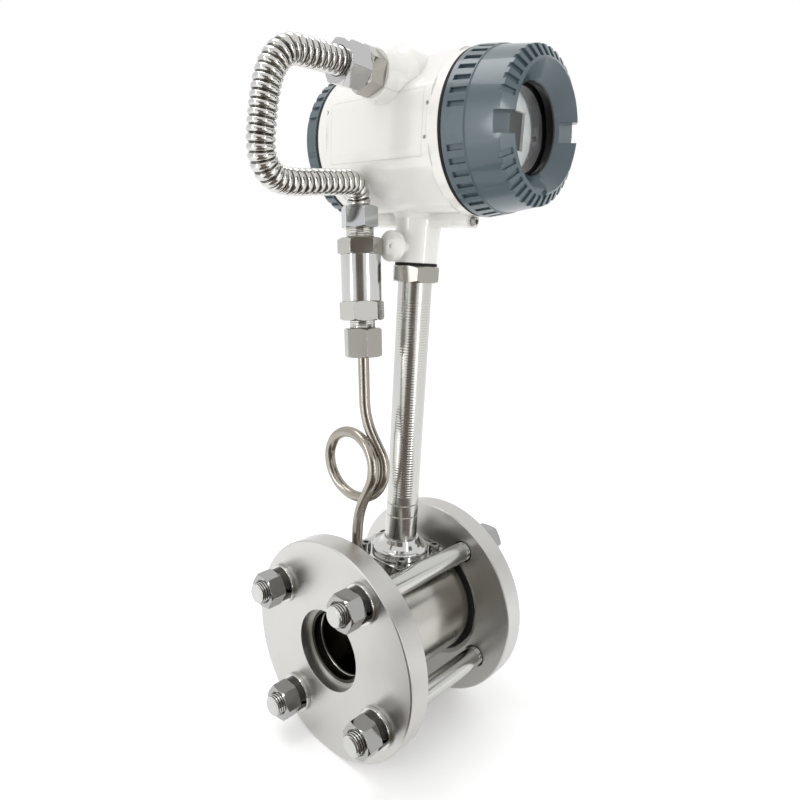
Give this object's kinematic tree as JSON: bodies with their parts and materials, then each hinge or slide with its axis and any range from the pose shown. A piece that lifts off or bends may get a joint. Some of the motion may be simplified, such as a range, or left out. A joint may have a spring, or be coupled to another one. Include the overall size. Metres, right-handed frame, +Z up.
{
  "type": "vortex flow meter",
  "caption": "Flange-clamped vortex flow meter: sensor stem with a round display head, pigtail siphon and pressure sensor, and a corrugated conduit hose.",
  "frame": {"origin": "centre of the inlet flange's outer face, on the pipe's axis", "axes": "+Y along the flow, from the inlet flange to the outlet flange; +Z up the stem to the head; +X the side that the display faces"},
  "size_m": [0.1801, 0.2268, 0.4969],
  "materials": {
    "meter_body": "finely turned and polished",
    "shedder_bar": "milled",
    "inlet_flange": "satin, bright turned edges",
    "outlet_flange": "satin, bright turned edges",
    "inlet_gasket": "matt",
    "outlet_gasket": "matt",
    "stud_bolts": "drawn bar, rolled threads",
    "flange_nuts": "mirror bright",
    "spring_washers": "bright",
    "flat_washers": "bright",
    "sensor_probe": "turned",
    "sensor_seal": "matt",
    "sensor_plate": "polished",
    "plate_screws": "bright steel",
    "stem_tube": "finely turned",
    "stem_lock_nut": "bright",
    "neck_gasket": "matt",
    "housing": "smooth gloss enamel on cast aluminium",
    "front_cover": "speckled semi-gloss enamel on cast aluminium",
    "front_cover_seal": "matt",
    "rear_cover": "speckled semi-gloss enamel on cast aluminium",
    "rear_cover_seal": "matt",
    "window_glass": "clear",
    "glass_seal": "matt",
    "glass_ring": "brushed",
    "electronics_module": "moulded",
    "module_screws": "zinc",
    "display_board": "solder mask",
    "lcd_panel": "grey-green display glass",
    "display_bezel": "smooth off-white",
    "key_left": "soft matt",
    "key_middle": "soft matt",
    "key_right": "soft matt",
    "terminal_block": "moulded",
    "terminal_screws": "zinc",
    "terminal_mount_screws": "zinc",
    "cover_lock_screws": "bright steel",
    "siphon_tube": "drawn tube, warm grey",
    "siphon_ferrule": "turned",
    "compression_nut": "satin bright",
    "pressure_port": "turned, bright",
    "pressure_cell": "satin",
    "sensor_case": "polished",
    "sensor_board": "solder mask",
    "sensor_cap": "finely lined",
    "hose_nut": "bluish zinc",
    "conduit_adapter": "bright",
    "conduit_cap_nut": "bright",
    "flexible_hose": "corrugated bright steel"
  },
  "bodies": {
    "meter": {"meter_body": "meter_body", "shedder_bar": "shedder_bar", "inlet_flange": "inlet_flange", "outlet_flange": "outlet_flange", "inlet_gasket": "inlet_gasket", "outlet_gasket": "outlet_gasket", "stud_bolts": "stud_bolts", "flange_nuts": "flange_nuts", "spring_washers": "spring_washers", "flat_washers": "flat_washers", "sensor_probe": "sensor_probe", "sensor_seal": "sensor_seal", "sensor_plate": "sensor_plate", "plate_screws": "plate_screws", "stem_tube": "stem_tube", "stem_lock_nut": "stem_lock_nut", "neck_gasket": "neck_gasket", "housing": "housing", "electronics_module": "electronics_module", "module_screws": "module_screws", "display_board": "display_board", "lcd_panel": "lcd_panel", "display_bezel": "display_bezel", "terminal_block": "terminal_block", "terminal_screws": "terminal_screws", "terminal_mount_screws": "terminal_mount_screws", "cover_lock_screws": "cover_lock_screws", "siphon_tube": "siphon_tube", "siphon_ferrule": "siphon_ferrule", "compression_nut": "compression_nut", "pressure_port": "pressure_port", "pressure_cell": "pressure_cell", "sensor_case": "sensor_case", "sensor_board": "sensor_board", "sensor_cap": "sensor_cap", "hose_nut": "hose_nut", "conduit_adapter": "conduit_adapter", "conduit_cap_nut": "conduit_cap_nut", "flexible_hose": "flexible_hose"},
    "front_seal": {"front_cover_seal": "front_cover_seal"},
    "front_cover_set": {"front_cover": "front_cover", "window_glass": "window_glass", "glass_seal": "glass_seal", "glass_ring": "glass_ring"},
    "rear_seal": {"rear_cover_seal": "rear_cover_seal"},
    "rear_cover_set": {"rear_cover": "rear_cover"},
    "left_key": {"key_left": "key_left"},
    "middle_key": {"key_middle": "key_middle"},
    "right_key": {"key_right": "key_right"}
  },
  "joints": [
    {"name": "front_cover_travel", "type": "slide", "parent": "meter", "child": "front_seal", "axis": [1, 0, 0], "range_m": [0, 0.014]},
    {"name": "front_cover_turn", "type": "hinge", "parent": "front_seal", "child": "front_cover_set", "pos_m": [0, 0.075, 0.3638], "axis": [1, 0, 0], "range_deg": [0, 2520]},
    {"name": "rear_cover_travel", "type": "slide", "parent": "meter", "child": "rear_seal", "axis": [-1, 0, 0], "range_m": [0, 0.014]},
    {"name": "rear_cover_turn", "type": "hinge", "parent": "rear_seal", "child": "rear_cover_set", "pos_m": [0, 0.075, 0.3638], "axis": [-1, 0, 0], "range_deg": [0, 2520]},
    {"name": "left_key_press", "type": "slide", "parent": "meter", "child": "left_key", "axis": [-1, 0, 0], "range_m": [0, 0.0005], "stiffness_N_per_m": 600, "springref_m": -0.001},
    {"name": "middle_key_press", "type": "slide", "parent": "meter", "child": "middle_key", "axis": [-1, 0, 0], "range_m": [0, 0.0005], "stiffness_N_per_m": 600, "springref_m": -0.001},
    {"name": "right_key_press", "type": "slide", "parent": "meter", "child": "right_key", "axis": [-1, 0, 0], "range_m": [0, 0.0005], "stiffness_N_per_m": 600, "springref_m": -0.001}
  ],
  "couplings": [
    {"joint": "front_cover_travel", "follows": "front_cover_turn", "m_per_rad": 0.00031831},
    {"joint": "rear_cover_travel", "follows": "rear_cover_turn", "m_per_rad": 0.00031831}
  ]
}
